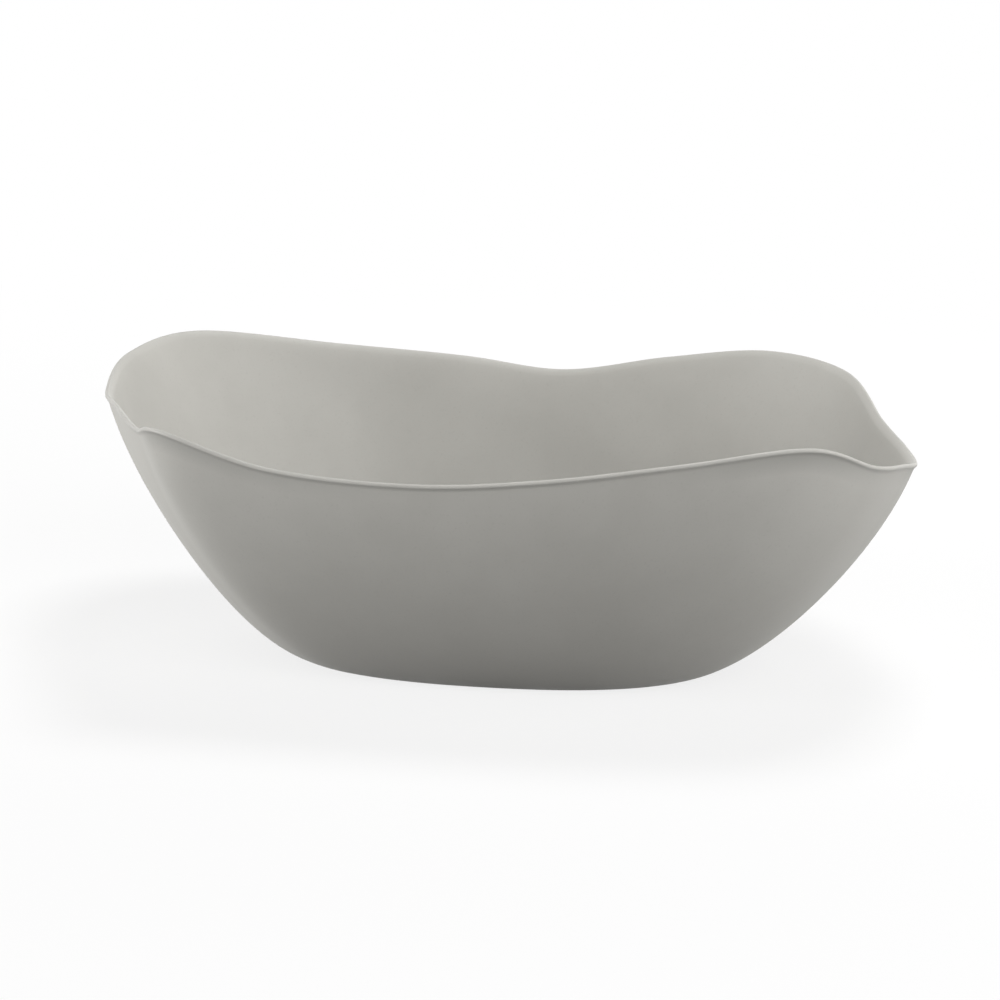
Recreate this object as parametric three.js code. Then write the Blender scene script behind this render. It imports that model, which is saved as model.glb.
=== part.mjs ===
// Melamine salad bowl with a wavy, soft-cornered rim, moulded in one piece.
// Millimetres, +Z up. The foot stands on z = 0, and the origin lies under the middle of the bowl's box.
import * as THREE from 'three';

// Rim: a soft-cornered oval whose edge waves up and down and is drawn out at some corners
const rimLength = 376;
const rimWidth = 283;
const rimSquareness = 2.74; // 2 is an ellipse, more is squarer
const rimHeight = 115.5; // mean height of the rim's top above the table
const waveHeight = 12.5; // rise of the crests and fall of the dips from that mean
const rimSwell = 15; // how far the rim is drawn out from its oval, or in from it

// Lip: the top of the wall turns outwards and ends in a round edge
const lipBend = 5; // radius of the turn on the outside
const lipTurn = 30; // degrees
const edgeThickness = 2;

// Foot: a smaller oval that the bowl stands on, with a shallow recess inside its ring
const footLength = 191;
const footWidth = 135.5;
const footSquareness = 2.4;
const footRingWidth = 7;
const footRecess = 1.5;

// Wall: thick at the floor, thinning towards the lip
const floorThickness = 4.5;
const wallThickness = 2.6;

// Handles of the curve from the foot to the lip: shares of the wall's flare and of its height
const lowerFlare = 0.26;
const upperFlare = 0.83;
const upperRise = 0.55;

// Points that the rim's outer edge runs through: bearing in degrees about the foot's middle,
// with shares of the swell and of the wave's height there
const rimStations = [
  { bearing: -8, swell: -0.05, rise: -0.92 }, // right end, the low pouring lip
  { bearing: 4, swell: -0.27, rise: -1 },
  { bearing: 16, swell: -0.65, rise: -0.6 },
  { bearing: 30, swell: -0.43, rise: 0.6 },
  { bearing: 46, swell: -0.17, rise: 0.84 }, // far right crest
  { bearing: 64, swell: 0.05, rise: 0.18 },
  { bearing: 84, swell: 0.13, rise: -0.58 }, // far dip
  { bearing: 104, swell: 0.31, rise: -0.23 },
  { bearing: 126, swell: 0.55, rise: 0.13 },
  { bearing: 147, swell: 1, rise: 0.81 }, // far left crest
  { bearing: 163, swell: 0.77, rise: 0.52 },
  { bearing: 180, swell: 0.21, rise: -0.01 }, // left end
  { bearing: 198, swell: -0.49, rise: 0.28 },
  { bearing: 212, swell: -0.13, rise: 0.18 },
  { bearing: 222, swell: 0.8, rise: 0.62 }, // pinched near left corner
  { bearing: 236, swell: 0.25, rise: -0.34 },
  { bearing: 258, swell: 0.23, rise: -0.55 }, // near dip
  { bearing: 280, swell: 0.25, rise: -0.19 },
  { bearing: 301, swell: 0.26, rise: 0.48 },
  { bearing: 318, swell: 0.43, rise: 0.97 }, // near right crest
  { bearing: 330, swell: 0.19, rise: 0.02 },
  { bearing: 341, swell: -0.02, rise: -0.43 },
];

// Facets
const stepsPerStation = 5;
const wallSteps = 11;
const lipSteps = 3;
const edgeSteps = 6;

const quarterTurn = Math.PI / 2;
const { degToRad, lerp } = THREE.MathUtils;

// Reach of a soft-cornered oval from its middle at an angle
function ovalReach(angle, length, width, squareness) {
  const along = Math.abs(Math.cos(angle)) / (length / 2);
  const across = Math.abs(Math.sin(angle)) / (width / 2);
  return (along ** squareness + across ** squareness) ** (-1 / squareness);
}

function rimCurve() {
  const points = rimStations.map(({ bearing, swell, rise }) => {
    const angle = degToRad(bearing);
    const reach = ovalReach(angle, rimLength, rimWidth, rimSquareness) + swell * rimSwell;
    return new THREE.Vector3(reach * Math.cos(angle), reach * Math.sin(angle), rimHeight + rise * waveHeight);
  });
  return new THREE.CatmullRomCurve3(points, true, 'catmullrom');
}

// Reach of the foot's edge at an angle, drawn in by an inset all round
function footReach(angle, inset) {
  return ovalReach(angle, footLength - 2 * inset, footWidth - 2 * inset, footSquareness);
}

// Outside of the wall in one upright section, from the foot's edge to where the lip starts to turn
function wallCurve(foot, top) {
  return new THREE.CubicBezierCurve(
    new THREE.Vector2(foot, 0),
    new THREE.Vector2(lerp(foot, top.x, lowerFlare), 0),
    new THREE.Vector2(lerp(foot, top.x, upperFlare), top.y * upperRise),
    top,
  );
}

// Inside of the wall: the outside, set in by the thickness at that level
function innerPoint(wall, level) {
  const tangent = wall.getTangent(level);
  const inward = new THREE.Vector2(-tangent.y, tangent.x);
  return wall.getPoint(level).addScaledVector(inward, lerp(floorThickness, wallThickness, level));
}

function onCircle(middle, radius, angle) {
  return new THREE.Vector2(middle.x + radius * Math.cos(angle), middle.y + radius * Math.sin(angle));
}

// One upright section as (reach, height) points: foot ring, outside, lip, then down the inside
function sectionPoints(angle, reach, height) {
  const foot = footReach(angle, 0);
  const edgeRadius = edgeThickness / 2;
  const edge = new THREE.Vector2(reach - edgeRadius, height - edgeRadius);

  // The wall's slope where the lip starts to turn, and the lip's where it ends, as angles above level
  const steep = Math.atan2((1 - upperRise) * edge.y, (1 - upperFlare) * (edge.x - foot));
  const flat = steep - degToRad(lipTurn);
  const bend = onCircle(edge, lipBend + edgeRadius, flat - quarterTurn);
  const wall = wallCurve(foot, onCircle(bend, lipBend, steep + quarterTurn));

  const points = [
    new THREE.Vector2(footReach(angle, footRingWidth + footRecess), footRecess),
    new THREE.Vector2(footReach(angle, footRingWidth), 0),
  ];
  for (let step = 0; step <= wallSteps; step++) {
    points.push(wall.getPoint(step / wallSteps));
  }
  for (let step = 1; step <= lipSteps; step++) {
    points.push(onCircle(bend, lipBend, lerp(steep, flat, step / lipSteps) + quarterTurn));
  }
  for (let step = 1; step <= edgeSteps; step++) {
    points.push(onCircle(edge, edgeRadius, flat + lerp(-quarterTurn, quarterTurn, step / edgeSteps)));
  }
  for (let step = 1; step <= lipSteps; step++) {
    const thickness = lerp(edgeThickness, wallThickness, step / lipSteps);
    points.push(onCircle(bend, lipBend + thickness, lerp(flat, steep, step / lipSteps) + quarterTurn));
  }
  for (let step = wallSteps - 1; step >= 0; step--) {
    points.push(innerPoint(wall, step / wallSteps));
  }
  return points;
}

// Skin over the sections, closed by one point under the foot and one on the inside floor
function bowlGeometry() {
  const rim = rimCurve();
  const sectionCount = rimStations.length * stepsPerStation;
  const sections = [];
  for (let index = 0; index < sectionCount; index++) {
    const { x, y, z } = rim.getPoint(index / sectionCount);
    const angle = Math.atan2(y, x);
    const section = sectionPoints(angle, Math.hypot(x, y), z);
    sections.push(section.map((p) => [p.x * Math.cos(angle), p.x * Math.sin(angle), p.y]));
  }

  const ringCount = sections[0].length;
  const underside = sectionCount * ringCount;
  const floor = underside + 1;
  const vertices = [...sections.flat(2), 0, 0, footRecess, 0, 0, floorThickness];

  const faces = [];
  for (let index = 0; index < sectionCount; index++) {
    const here = index * ringCount;
    const next = ((index + 1) % sectionCount) * ringCount;
    const last = ringCount - 1;
    faces.push(underside, next, here);
    for (let ring = 0; ring < last; ring++) {
      faces.push(here + ring, next + ring, next + ring + 1);
      faces.push(here + ring, next + ring + 1, here + ring + 1);
    }
    faces.push(here + last, next + last, floor);
  }

  const geometry = new THREE.BufferGeometry();
  geometry.setAttribute('position', new THREE.Float32BufferAttribute(vertices, 3));
  geometry.setIndex(faces);
  geometry.computeVertexNormals();
  return geometry;
}

function makeBowl() {
  const melamine = new THREE.MeshStandardMaterial({ color: '#b5b3ae', roughness: 0.55, metalness: 0 });
  const mesh = new THREE.Mesh(bowlGeometry(), melamine);
  mesh.name = 'bowl';

  mesh.geometry.computeBoundingBox();
  const middle = mesh.geometry.boundingBox.getCenter(new THREE.Vector3());
  mesh.position.set(-middle.x, -middle.y, 0);
  return mesh;
}

const saladBowl = new THREE.Group();
saladBowl.add(makeBowl());

export default saladBowl;
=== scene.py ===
import math
import bpy
from mathutils import Matrix, Vector


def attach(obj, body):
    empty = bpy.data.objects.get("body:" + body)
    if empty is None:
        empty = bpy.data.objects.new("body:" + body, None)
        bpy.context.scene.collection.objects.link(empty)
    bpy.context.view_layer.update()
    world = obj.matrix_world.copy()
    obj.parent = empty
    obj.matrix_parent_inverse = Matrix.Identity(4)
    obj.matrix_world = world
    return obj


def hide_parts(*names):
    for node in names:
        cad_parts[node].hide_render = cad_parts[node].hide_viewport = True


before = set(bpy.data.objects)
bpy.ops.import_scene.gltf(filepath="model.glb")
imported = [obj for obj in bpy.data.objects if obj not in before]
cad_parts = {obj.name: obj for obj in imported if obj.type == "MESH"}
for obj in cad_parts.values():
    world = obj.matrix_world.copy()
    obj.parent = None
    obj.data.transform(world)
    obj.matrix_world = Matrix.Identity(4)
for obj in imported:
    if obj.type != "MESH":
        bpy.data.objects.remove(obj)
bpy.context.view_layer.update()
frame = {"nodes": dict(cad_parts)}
print("frame loaded:", ", ".join(frame["nodes"]))

scene = bpy.context.scene
scene.view_settings.view_transform = "Standard"
mm = 0.001
quarterTurn = math.pi / 2
plainWhite = (1.0, 1.0, 1.0, 1.0)


def addObject(name, data):
    item = bpy.data.objects.new(name, data)
    scene.collection.objects.link(item)
    return item


def addNode(tree, kind, **settings):
    node = tree.nodes.new(kind)
    for name, value in settings.items():
        setattr(node, name, value)
    return node


def plug(tree, socket, value):  # a link where there is one to make, otherwise a plain value
    if isinstance(value, bpy.types.NodeSocket):
        tree.links.new(value, socket)
    else:
        socket.default_value = value


def plugInOrder(tree, node, values):
    for socket, value in zip(node.inputs, values):
        plug(tree, socket, value)


def plugByName(tree, node, values):
    for name, value in values.items():
        plug(tree, node.inputs[name], value)


def addSockets(tree, side, kind, names):
    for name in names:
        tree.interface.new_socket(name, in_out=side, socket_type=kind)


def mathFor(tree):
    def calc(operation, *terms):
        node = addNode(tree, "ShaderNodeMath", operation=operation)
        plugInOrder(tree, node, terms)
        return node.outputs[0]
    return calc


def diagonal(calc, one, other):
    return calc("SQRT", calc("ADD", calc("MULTIPLY", one, one), calc("MULTIPLY", other, other)))


def mapRange(tree, value, fromLow, fromHigh, toLow, toHigh, curve="LINEAR"):
    node = addNode(tree, "ShaderNodeMapRange", interpolation_type=curve)
    plugByName(tree, node, {"Value": value, "From Min": fromLow, "From Max": fromHigh})
    plugByName(tree, node, {"To Min": toLow, "To Max": toHigh})
    return node.outputs["Result"]


def seenDirectly(tree):  # 1 for rays from the camera, mirrors and glass, 0 for those that carry light on
    path = addNode(tree, "ShaderNodeLightPath").outputs
    calc = mathFor(tree)
    mirrored = calc("MAXIMUM", path["Is Glossy Ray"], path["Is Transmission Ray"])
    return calc("MAXIMUM", path["Is Camera Ray"], mirrored)


def direction(bearing, elevation):  # both in radians, bearings counted from +X
    level = math.cos(elevation)
    return Vector((math.cos(bearing) * level, math.sin(bearing) * level, math.sin(elevation)))


# The bowl: sizes in millimetres, with the foot's middle as the centre of every bearing
bowlSizes = {
    "Rim Length": 376,
    "Rim Width": 283,
    "Rim Height": 115.5,      # mean height of the rim's top
    "Wave Height": 12.5,      # crests above that mean and dips below it
    "Rim Swell": 15,          # most that the rim leaves its oval
    "Lip Bend": 5,            # outside radius of the turned-out lip
    "Edge Thickness": 2,
    "Foot Length": 191,
    "Foot Width": 135.5,
    "Ring Width": 7,
    "Foot Recess": 1.5,
    "Floor Thickness": 4.5,
    "Wall Thickness": 2.6,
    "Seam Gap": 0.02,         # strips this close are sewn together
}
bowlShares = {
    "Rim Squareness": 2.74,   # 2 is an ellipse
    "Foot Squareness": 2.4,
    "Lower Flare": 0.26,      # handles of the wall's curve
    "Upper Flare": 0.83,
    "Upper Rise": 0.55,
    "Lip Turn": 30,           # degrees
    "Lip Shade Level": 0.955,      # the wall has no painted shade up to this share of it
}
bowlRows = {
    "Rim Steps": 40,          # of the smooth rim between two stations
    "Around": 641,            # points round the bowl, and below along each strip of its skin
    "Under Rows": 5,
    "Slope Rows": 7,
    "Ring Rows": 3,
    "Wall Rows": 45,
    "Lip Rows": 7,
    "Edge Rows": 13,
    "Floor Rows": 17,
}
rimStations = [               # bearing in degrees, shares of the swell and the wave, painted shade under the lip
    (-8, -0.05, -0.92, 0.9),  # right end, the low pouring lip
    (4, -0.27, -1.0, 0.3),
    (16, -0.65, -0.6, 0.0),
    (30, -0.43, 0.6, 0.0),
    (46, -0.17, 0.84, 0.6),   # far right crest
    (64, 0.05, 0.18, 0.0),
    (84, 0.13, -0.58, 0.0),   # far dip
    (104, 0.31, -0.23, 0.0),
    (126, 0.55, 0.13, 0.0),
    (147, 1.0, 0.81, 0.6),    # far left crest
    (163, 0.77, 0.52, 0.0),
    (180, 0.21, -0.01, 0.0),  # left end
    (198, -0.49, 0.28, 0.0),
    (212, -0.13, 0.18, 0.0),
    (222, 0.8, 0.62, 0.8),    # pinched near left corner
    (236, 0.25, -0.34, 0.4),
    (258, 0.23, -0.55, 0.0),  # near dip
    (280, 0.25, -0.19, 0.0),
    (301, 0.26, 0.48, 0.15),
    (318, 0.43, 0.97, 1.0),   # near right crest
    (330, 0.19, 0.02, 0.4),
    (341, -0.02, -0.43, 0.3),
]


def makeOvalReach():  # reach of a soft-cornered oval in a direction
    tree = bpy.data.node_groups.new("ovalReach", "GeometryNodeTree")
    addSockets(tree, "INPUT", "NodeSocketFloat", ["Along", "Across", "Length", "Width", "Squareness"])
    addSockets(tree, "OUTPUT", "NodeSocketFloat", ["Reach"])
    given = addNode(tree, "NodeGroupInput").outputs
    made = addNode(tree, "NodeGroupOutput").inputs
    calc = mathFor(tree)

    def side(part, size):
        share = calc("DIVIDE", calc("ABSOLUTE", given[part]), calc("MULTIPLY", given[size], 0.5))
        return calc("POWER", share, given["Squareness"])

    total = calc("ADD", side("Along", "Length"), side("Across", "Width"))
    plug(tree, made["Reach"], calc("POWER", total, calc("DIVIDE", -1.0, given["Squareness"])))
    return tree


def makeWallLevel():  # a point on the wall's curve at a level from 0 at the foot to 1 at the lip
    tree = bpy.data.node_groups.new("wallLevel", "GeometryNodeTree")
    addSockets(tree, "INPUT", "NodeSocketFloat", ["Level", "Foot", "Top Reach", "Top Height"])
    addSockets(tree, "INPUT", "NodeSocketFloat", ["Lower Flare", "Upper Flare", "Upper Rise"])
    addSockets(tree, "OUTPUT", "NodeSocketFloat", ["Reach", "Height", "Inward", "Upward"])
    given = addNode(tree, "NodeGroupInput").outputs
    made = addNode(tree, "NodeGroupOutput").inputs
    calc = mathFor(tree)

    level = given["Level"]
    rest = calc("SUBTRACT", 1.0, level)
    start = calc("MULTIPLY", rest, rest)
    middle = calc("MULTIPLY", rest, level)
    end = calc("MULTIPLY", level, level)
    cube = calc("MULTIPLY", end, level)

    def bezier(first, second):  # from 0 to 1, with these two handles
        one = calc("MULTIPLY", calc("MULTIPLY", calc("MULTIPLY", start, level), 3.0), first)
        two = calc("MULTIPLY", calc("MULTIPLY", calc("MULTIPLY", middle, level), 3.0), second)
        return calc("ADD", calc("ADD", one, two), cube)

    def slope(first, second):
        one = calc("MULTIPLY", calc("MULTIPLY", start, 3.0), first)
        two = calc("MULTIPLY", calc("MULTIPLY", middle, 6.0), calc("SUBTRACT", second, first))
        three = calc("MULTIPLY", calc("MULTIPLY", end, 3.0), calc("SUBTRACT", 1.0, second))
        return calc("ADD", calc("ADD", one, two), three)

    flare = calc("SUBTRACT", given["Top Reach"], given["Foot"])
    out = bezier(given["Lower Flare"], given["Upper Flare"])
    up = bezier(0.0, given["Upper Rise"])
    outSlope = calc("MULTIPLY", flare, slope(given["Lower Flare"], given["Upper Flare"]))
    upSlope = calc("MULTIPLY", given["Top Height"], slope(0.0, given["Upper Rise"]))
    steep = diagonal(calc, outSlope, upSlope)
    plug(tree, made["Reach"], calc("ADD", given["Foot"], calc("MULTIPLY", flare, out)))
    plug(tree, made["Height"], calc("MULTIPLY", given["Top Height"], up))
    plug(tree, made["Inward"], calc("DIVIDE", upSlope, steep))   # unit normal towards the inside
    plug(tree, made["Upward"], calc("DIVIDE", outSlope, steep))
    return tree


def makeBowlTree(ovalReach, wallLevel):
    tree = bpy.data.node_groups.new("wavyBowl", "GeometryNodeTree")
    addSockets(tree, "INPUT", "NodeSocketGeometry", ["Stations"])
    addSockets(tree, "INPUT", "NodeSocketFloat", list(bowlSizes) + list(bowlShares))
    addSockets(tree, "INPUT", "NodeSocketInt", list(bowlRows))
    addSockets(tree, "INPUT", "NodeSocketMaterial", ["Finish"])
    addSockets(tree, "OUTPUT", "NodeSocketGeometry", ["Bowl"])
    given = addNode(tree, "NodeGroupInput").outputs
    made = addNode(tree, "NodeGroupOutput").inputs
    calc = mathFor(tree)

    def oval(alongPart, acrossPart, length, width, squareness):
        node = addNode(tree, "GeometryNodeGroup", node_tree=ovalReach)
        plugInOrder(tree, node, (alongPart, acrossPart, length, width, squareness))
        return node.outputs["Reach"]

    def point(reach, alongPart, acrossPart, height):
        node = addNode(tree, "ShaderNodeCombineXYZ")
        x = calc("MULTIPLY", reach, alongPart)
        y = calc("MULTIPLY", reach, acrossPart)
        plugByName(tree, node, {"X": x, "Y": y, "Z": height})
        return node.outputs["Vector"]

    def stationValue(name):
        node = addNode(tree, "GeometryNodeInputNamedAttribute", data_type="FLOAT")
        node.inputs["Name"].default_value = name
        return node.outputs["Attribute"]

    # Rim: the stations take their places, and a smooth curve runs through them
    east = calc("COSINE", stationValue("bearing"))
    north = calc("SINE", stationValue("bearing"))
    reach = oval(east, north, given["Rim Length"], given["Rim Width"], given["Rim Squareness"])
    reach = calc("ADD", reach, calc("MULTIPLY", stationValue("swell"), given["Rim Swell"]))
    height = calc("ADD", given["Rim Height"], calc("MULTIPLY", stationValue("rise"), given["Wave Height"]))
    placed = addNode(tree, "GeometryNodeSetPosition")
    plugByName(tree, placed, {"Geometry": given["Stations"], "Position": point(reach, east, north, height)})
    loop = addNode(tree, "GeometryNodeMeshToCurve")
    plug(tree, loop.inputs["Mesh"], placed.outputs["Geometry"])
    smooth = addNode(tree, "GeometryNodeCurveSplineType", spline_type="CATMULL_ROM")
    plug(tree, smooth.inputs["Curve"], loop.outputs["Curve"])
    fine = addNode(tree, "GeometryNodeSetSplineResolution")
    plugByName(tree, fine, {"Geometry": smooth.outputs["Curve"], "Resolution": given["Rim Steps"]})

    # Every strip starts as a unit grid: x runs round the rim and y along the section
    where = addNode(tree, "ShaderNodeSeparateXYZ")
    plug(tree, where.inputs["Vector"], addNode(tree, "GeometryNodeInputPosition").outputs["Position"])
    around = calc("ADD", where.outputs["X"], 0.5)
    step = calc("ADD", where.outputs["Y"], 0.5)
    sample = addNode(tree, "GeometryNodeSampleCurve", mode="FACTOR")
    plugByName(tree, sample, {"Curves": fine.outputs["Geometry"], "Factor": around})
    # the stations' share of painted shade under the lip, carried round the rim
    plug(tree, sample.inputs["Value"], stationValue("lipShade"))
    lipShade = calc("MAXIMUM", sample.outputs["Value"], 0.0)
    rim = addNode(tree, "ShaderNodeSeparateXYZ")
    plug(tree, rim.inputs["Vector"], sample.outputs["Position"])
    rimX, rimY, rimTop = rim.outputs["X"], rim.outputs["Y"], rim.outputs["Z"]
    rimReach = diagonal(calc, rimX, rimY)
    along = calc("DIVIDE", rimX, rimReach)
    across = calc("DIVIDE", rimY, rimReach)

    def footEdge(inset):
        less = calc("MULTIPLY", inset, 2.0)
        length = calc("SUBTRACT", given["Foot Length"], less)
        width = calc("SUBTRACT", given["Foot Width"], less)
        return oval(along, across, length, width, given["Foot Squareness"])

    foot = footEdge(0.0)
    ringEdge = footEdge(given["Ring Width"])
    recessEdge = footEdge(calc("ADD", given["Ring Width"], given["Foot Recess"]))
    edgeRadius = calc("MULTIPLY", given["Edge Thickness"], 0.5)
    edge = (calc("SUBTRACT", rimReach, edgeRadius), calc("SUBTRACT", rimTop, edgeRadius))
    lipBend = given["Lip Bend"]

    def onCircle(middle, radius, angle):
        out = calc("ADD", middle[0], calc("MULTIPLY", radius, calc("COSINE", angle)))
        up = calc("ADD", middle[1], calc("MULTIPLY", radius, calc("SINE", angle)))
        return out, up

    # Lip: the slopes where its turn starts and ends, then the middle of the turn
    upLeft = calc("MULTIPLY", calc("SUBTRACT", 1.0, given["Upper Rise"]), edge[1])
    outLeft = calc("MULTIPLY", calc("SUBTRACT", 1.0, given["Upper Flare"]), calc("SUBTRACT", edge[0], foot))
    steep = calc("ARCTAN2", upLeft, outLeft)
    flat = calc("SUBTRACT", steep, calc("RADIANS", given["Lip Turn"]))
    bend = onCircle(edge, calc("ADD", lipBend, edgeRadius), calc("SUBTRACT", flat, quarterTurn))
    topReach, topHeight = onCircle(bend, lipBend, calc("ADD", steep, quarterTurn))

    def wall(level):
        node = addNode(tree, "GeometryNodeGroup", node_tree=wallLevel)
        plugByName(tree, node, {"Level": level, "Foot": foot, "Top Reach": topReach, "Top Height": topHeight})
        plugByName(tree, node, {name: given[name] for name in ("Lower Flare", "Upper Flare", "Upper Rise")})
        return node.outputs

    def between(start, end, share):
        return calc("ADD", start, calc("MULTIPLY", calc("SUBTRACT", end, start), share))

    def insideWall(level):
        skin = wall(level)
        thickness = between(given["Floor Thickness"], given["Wall Thickness"], level)
        inReach = calc("SUBTRACT", skin["Reach"], calc("MULTIPLY", thickness, skin["Inward"]))
        inHeight = calc("ADD", skin["Height"], calc("MULTIPLY", thickness, skin["Upward"]))
        return inReach, inHeight

    def eased(start, fromValue, toValue):  # an S-curve from a start to the end of the strip
        return mapRange(tree, step, start, 1.0, fromValue, toValue, curve="SMOOTHSTEP")

    strips = []

    # underLip is the share of painted shade under the lip
    def addStrip(rows, stripReach, stripHeight, onEdge=0.0, onRing=0.0, underLip=0.0):
        grid = addNode(tree, "GeometryNodeMeshGrid")
        plugByName(tree, grid, {"Vertices X": given["Around"], "Vertices Y": given[rows]})
        strip = grid.outputs["Mesh"]
        for name, value in (("onEdge", onEdge), ("onRing", onRing), ("underLip", underLip)):
            mark = addNode(tree, "GeometryNodeStoreNamedAttribute", data_type="FLOAT", domain="POINT")
            plugByName(tree, mark, {"Geometry": strip, "Name": name, "Value": value})
            strip = mark.outputs["Geometry"]
        shaped = addNode(tree, "GeometryNodeSetPosition")  # last, because the marks read the unit grid
        plug(tree, shaped.inputs["Geometry"], strip)
        plug(tree, shaped.inputs["Position"], point(stripReach, along, across, stripHeight))
        strips.append(shaped.outputs["Geometry"])

    # Underside: flat recess, a soft slope down to the ring, then the ring that stands on the table
    addStrip("Under Rows", calc("MULTIPLY", recessEdge, step), given["Foot Recess"])
    addStrip("Slope Rows", between(recessEdge, ringEdge, step), eased(0.0, given["Foot Recess"], 0.0))
    addStrip("Ring Rows", between(ringEdge, foot, step), 0.0, onRing=1.0)

    # Outside, lip, round edge and inside, each from where the last one ends
    outside = wall(step)
    # Painted shade under the lip: the lip's outside is darkened, and the top of the wall darkens towards it
    wallLipShade = calc("MULTIPLY", lipShade, eased(given["Lip Shade Level"], 0.0, 1.0))
    addStrip("Wall Rows", outside["Reach"], outside["Height"], underLip=wallLipShade)
    lipOut = calc("ADD", between(steep, flat, step), quarterTurn)
    addStrip("Lip Rows", *onCircle(bend, lipBend, lipOut), underLip=lipShade)
    edgeTurn = calc("ADD", flat, between(-quarterTurn, quarterTurn, step))
    addStrip("Edge Rows", *onCircle(edge, edgeRadius, edgeTurn), onEdge=1.0)
    lipIn = calc("ADD", between(flat, steep, step), quarterTurn)
    lipThickness = between(given["Edge Thickness"], given["Wall Thickness"], step)
    addStrip("Lip Rows", *onCircle(bend, calc("ADD", lipBend, lipThickness), lipIn))
    addStrip("Wall Rows", *insideWall(calc("SUBTRACT", 1.0, step)))
    addStrip("Floor Rows", between(foot, 0.0, step), given["Floor Thickness"])

    join = addNode(tree, "GeometryNodeJoinGeometry")
    for strip in reversed(strips):
        tree.links.new(strip, join.inputs["Geometry"])
    closed = addNode(tree, "GeometryNodeMergeByDistance")
    plugByName(tree, closed, {"Geometry": join.outputs["Geometry"], "Distance": given["Seam Gap"]})
    rounded = addNode(tree, "GeometryNodeSetShadeSmooth", domain="FACE")
    plug(tree, rounded.inputs["Geometry"], closed.outputs["Geometry"])
    real = addNode(tree, "GeometryNodeRealizeInstances")
    plug(tree, real.inputs["Geometry"], rounded.outputs["Geometry"])
    finished = addNode(tree, "GeometryNodeSetMaterial")
    plugByName(tree, finished, {"Geometry": real.outputs["Geometry"], "Material": given["Finish"]})
    plug(tree, made["Bowl"], finished.outputs["Geometry"])
    return tree


# Moulded melamine: warm light grey, faintly clouded, with fine specks, a slightly polished rim and painted
# shade under the lip
melamineLook = {
    "pale": (0.488, 0.479, 0.448, 1.0),
    "deep": (0.458, 0.449, 0.419, 1.0),
    "clouds": {"Scale": 26.0, "Detail": 4.0, "Roughness": 0.55},   # about 40 mm across
    "cloudSpan": (0.35, 0.65),    # the noise that turns deep to pale
    "speck": (0.402, 0.393, 0.366, 1.0),
    "specks": {"Scale": 850.0, "Detail": 2.0, "Roughness": 0.5},   # about 1 mm across
    "speckSpan": (0.60, 0.72),
    "speckShare": 0.30,
    "grain": {"Scale": 1500.0, "Detail": 2.0, "Roughness": 0.6},
    "ringWear": (0.540, 0.530, 0.505, 1.0),
    "wearSpan": (0.45, 0.7),
    "wearShare": 0.7,
    # painted shade under the lip
    "lipShade": (0.330, 0.324, 0.304, 1.0),
    "lipShadeShare": 0.80,            # how much of the painted shade shows where it is strongest
    "roughSpan": (0.3, 0.7),      # the clouds vary the roughness too
    "roughLow": 0.52,
    "roughHigh": 0.64,
    "rimRough": 0.50,
    "gloss": 0.35,                # specular level of the satin skin
    "bumpStrength": 0.08,
    "bumpHeight": 0.00006,
}


def makeMelamine():
    look = melamineLook
    material = bpy.data.materials.new("mouldedMelamine")
    material.use_nodes = True
    tree = material.node_tree
    shader = tree.nodes["Principled BSDF"]
    place = addNode(tree, "ShaderNodeTexCoord").outputs["Object"]
    calc = mathFor(tree)

    def noise(settings):
        node = addNode(tree, "ShaderNodeTexNoise")
        plug(tree, node.inputs["Vector"], place)
        plugByName(tree, node, settings)
        return node.outputs["Fac"]

    def blend(factor, under, over):
        node = addNode(tree, "ShaderNodeMix", data_type="RGBA")
        plug(tree, node.inputs["Factor"], factor)
        colours = [socket for socket in node.inputs if socket.type == "RGBA"]
        plug(tree, colours[0], under)
        plug(tree, colours[1], over)
        return [socket for socket in node.outputs if socket.type == "RGBA"][0]

    def marked(name):
        return addNode(tree, "ShaderNodeAttribute", attribute_name=name).outputs["Fac"]

    cloud = noise(look["clouds"])
    speck = noise(look["specks"])
    grain = noise(look["grain"])
    clouded = blend(mapRange(tree, cloud, *look["cloudSpan"], 0.0, 1.0), look["deep"], look["pale"])
    speckAmount = mapRange(tree, speck, *look["speckSpan"], 0.0, look["speckShare"])
    speckled = blend(speckAmount, clouded, look["speck"])
    wear = mapRange(tree, grain, *look["wearSpan"], 0.0, look["wearShare"])
    worn = blend(calc("MULTIPLY", marked("onRing"), wear), speckled, look["ringWear"])
    # painted shade under the lip darkens the colour there
    lipShaded = blend(calc("MULTIPLY", marked("underLip"), look["lipShadeShare"]), worn, look["lipShade"])
    rough = mapRange(tree, cloud, *look["roughSpan"], look["roughLow"], look["roughHigh"])
    polished = mapRange(tree, marked("onEdge"), 0.0, 1.0, rough, look["rimRough"])
    bump = addNode(tree, "ShaderNodeBump")
    plugByName(tree, bump, {"Strength": look["bumpStrength"], "Distance": look["bumpHeight"]})
    plug(tree, bump.inputs["Height"], grain)
    plugByName(tree, shader, {"Base Color": lipShaded, "Roughness": polished, "Normal": bump.outputs["Normal"]})
    shader.inputs["Specular IOR Level"].default_value = look["gloss"]
    return material


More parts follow.
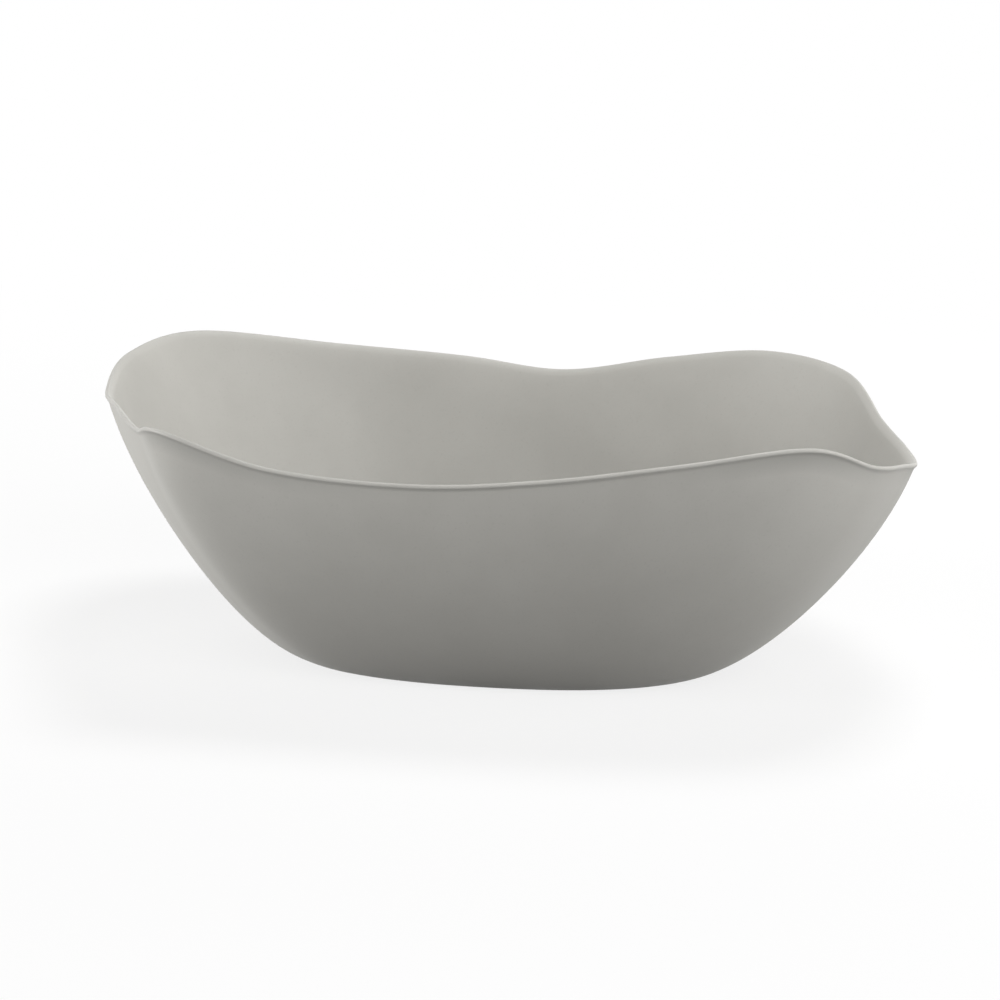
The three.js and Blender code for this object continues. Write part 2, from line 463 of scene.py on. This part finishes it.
def makeBowl(finish):
    # the stations are only a closed loop of points: the tree gives them their places
    bearings, swells, rises, lipShades = zip(*rimStations)
    angles = [math.radians(bearing) for bearing in bearings]
    count = len(rimStations)
    base = bpy.data.meshes.new("rimStations")
    base.from_pydata([(math.cos(angle), math.sin(angle), 0) for angle in angles],
                     [(index, (index + 1) % count) for index in range(count)], [])
    # the stations also carry their share of painted shade under the lip
    for name, values in (("bearing", angles), ("swell", swells), ("rise", rises), ("lipShade", lipShades)):
        base.attributes.new(name, "FLOAT", "POINT").data.foreach_set("value", values)
    maker = addObject("bowlMaker", base)

    tree = makeBowlTree(makeOvalReach(), makeWallLevel())
    identifier = {item.name: item.identifier for item in tree.interface.items_tree if item.in_out == "INPUT"}
    modifier = maker.modifiers.new("wavyBowl", "NODES")
    modifier.node_group = tree
    for name, value in bowlSizes.items():
        modifier[identifier[name]] = value * mm
    for values in (bowlShares, bowlRows):
        for name, value in values.items():
            modifier[identifier[name]] = value
    modifier[identifier["Finish"]] = finish

    evaluated = bpy.context.evaluated_depsgraph_get()
    mesh = bpy.data.meshes.new_from_object(maker.evaluated_get(evaluated), depsgraph=evaluated)
    mesh.name = "saladBowl"
    maker.modifiers.remove(modifier)
    bpy.data.objects.remove(maker)

    # the frame's origin is under the middle of the bowl's box, not of its foot
    lowX, highX = min(v.co.x for v in mesh.vertices), max(v.co.x for v in mesh.vertices)
    lowY, highY = min(v.co.y for v in mesh.vertices), max(v.co.y for v in mesh.vertices)
    mesh.transform(Matrix.Translation((-(lowX + highX) / 2, -(lowY + highY) / 2, 0)))
    return addObject("saladBowl", mesh)


saladBowl = makeBowl(makeMelamine())
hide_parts("bowl")
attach(saladBowl, "root")
print("bowl made:", len(saladBowl.data.polygons), "faces")


# Floor: pale to the eye and fading to white far off, darker for the light that it throws back
floorLook = {
    "size": 40.0,
    "pale": (0.90, 0.90, 0.90, 1.0),
    "bounce": (0.06, 0.06, 0.06, 1.0),
    "nearWhite": 0.80,        # share of plain white under the bowl, the rest keeps its shadow
    "nearReach": 0.25,
    "farReach": 1.10,         # from here on it is all white
}


def makeFloor():
    look = floorLook
    half = look["size"] / 2
    mesh = bpy.data.meshes.new("studioFloor")
    corners = [(-half, -half, 0), (half, -half, 0), (half, half, 0), (-half, half, 0)]
    mesh.from_pydata(corners, [], [(0, 1, 2, 3)])
    material = bpy.data.materials.new("paleFloor")
    material.use_nodes = True
    tree = material.node_tree
    tree.nodes.clear()

    def matt(colour):
        node = addNode(tree, "ShaderNodeBsdfDiffuse")
        node.inputs["Color"].default_value = colour
        return node.outputs[0]

    def mixed(share, under, over):
        node = addNode(tree, "ShaderNodeMixShader")
        plugInOrder(tree, node, (share, under, over))
        return node.outputs[0]

    away = addNode(tree, "ShaderNodeVectorMath", operation="LENGTH")
    plug(tree, away.inputs[0], addNode(tree, "ShaderNodeTexCoord").outputs["Object"])
    fade = mapRange(tree, away.outputs["Value"], look["nearReach"], look["farReach"],
                    look["nearWhite"], 1.0, curve="SMOOTHSTEP")
    white = addNode(tree, "ShaderNodeEmission").outputs[0]
    toEye = mixed(fade, matt(look["pale"]), white)
    surface = mixed(seenDirectly(tree), matt(look["bounce"]), toEye)
    plug(tree, addNode(tree, "ShaderNodeOutputMaterial").inputs["Surface"], surface)
    mesh.materials.append(material)
    return addObject("studioFloor", mesh)


makeFloor()
print("floor laid")


# Soft boxes: bearing from +X and elevation in degrees, side in metres, power in watts
softBoxes = {
    "topBox": {"bearing": 60, "elevation": 72, "side": 0.6, "power": 17.0, "glint": True},
    "frontBox": {"bearing": 290, "elevation": 28, "side": 1.0, "power": 11.5, "glint": True},
    "rightBox": {"bearing": 340, "elevation": 5, "side": 0.4, "power": 12.5, "glint": True},
    "leftBox": {"bearing": 200, "elevation": 5, "side": 0.4, "power": 21.0, "glint": True},
    "farRightFill": {"bearing": 20, "elevation": 5, "side": 0.4, "power": 3.5, "glint": False},
    "backFill": {"bearing": 92, "elevation": 12, "side": 1.0, "power": 16.0, "glint": False},
}
boxDistance = 1.6
boxAim = Vector((0.0, 0.0, 0.07))  # inside the bowl


def hangSoftBoxes():
    for name, box in softBoxes.items():
        lamp = bpy.data.lights.new(name, "AREA")
        lamp.shape = "SQUARE"
        lamp.size = box["side"]
        lamp.energy = box["power"]
        holder = addObject(name, lamp)
        holder.visible_glossy = box["glint"]
        away = direction(math.radians(box["bearing"]), math.radians(box["elevation"]))
        turn = away.to_track_quat("Z", "Y").to_matrix().to_4x4()
        holder.matrix_world = Matrix.Translation(boxAim + boxDistance * away) @ turn


def makeRoom():  # white where it is seen or mirrored, and otherwise dark
    world = bpy.data.worlds.new("studioRoom")
    world.use_nodes = True
    tree = world.node_tree
    plugByName(tree, tree.nodes["Background"], {"Color": plainWhite, "Strength": seenDirectly(tree)})
    scene.world = world


hangSoftBoxes()
makeRoom()
print("lights hung:", len(softBoxes))


# Camera: a long lens a little above the rim, just right of square on, tilted by a degree or two
view = {
    "aim": (0.00035, -0.00035, 0.07091),
    "azimuth": 4.72,          # from square on
    "elevation": 12.88,
    "roll": 1.75,
    "distance": 1.390,
    "lens": 107.1,
    "sensor": 36.0,
    "farClip": 100.0,
}


def setCamera():
    azimuth, elevation = math.radians(view["azimuth"]), math.radians(view["elevation"])
    data = bpy.data.cameras.new("photoCamera")
    data.sensor_fit = "HORIZONTAL"
    data.sensor_width = view["sensor"]
    data.lens = view["lens"]
    data.clip_end = view["farClip"]
    camera = addObject("photoCamera", data)
    back = direction(azimuth - quarterTurn, elevation)
    turn = Matrix.Rotation(azimuth, 4, "Z") @ Matrix.Rotation(quarterTurn - elevation, 4, "X")
    tilt = Matrix.Rotation(math.radians(view["roll"]), 4, "Z")
    camera.matrix_world = Matrix.Translation(Vector(view["aim"]) + back * view["distance"]) @ turn @ tilt
    scene.camera = camera


setCamera()
print("camera set")
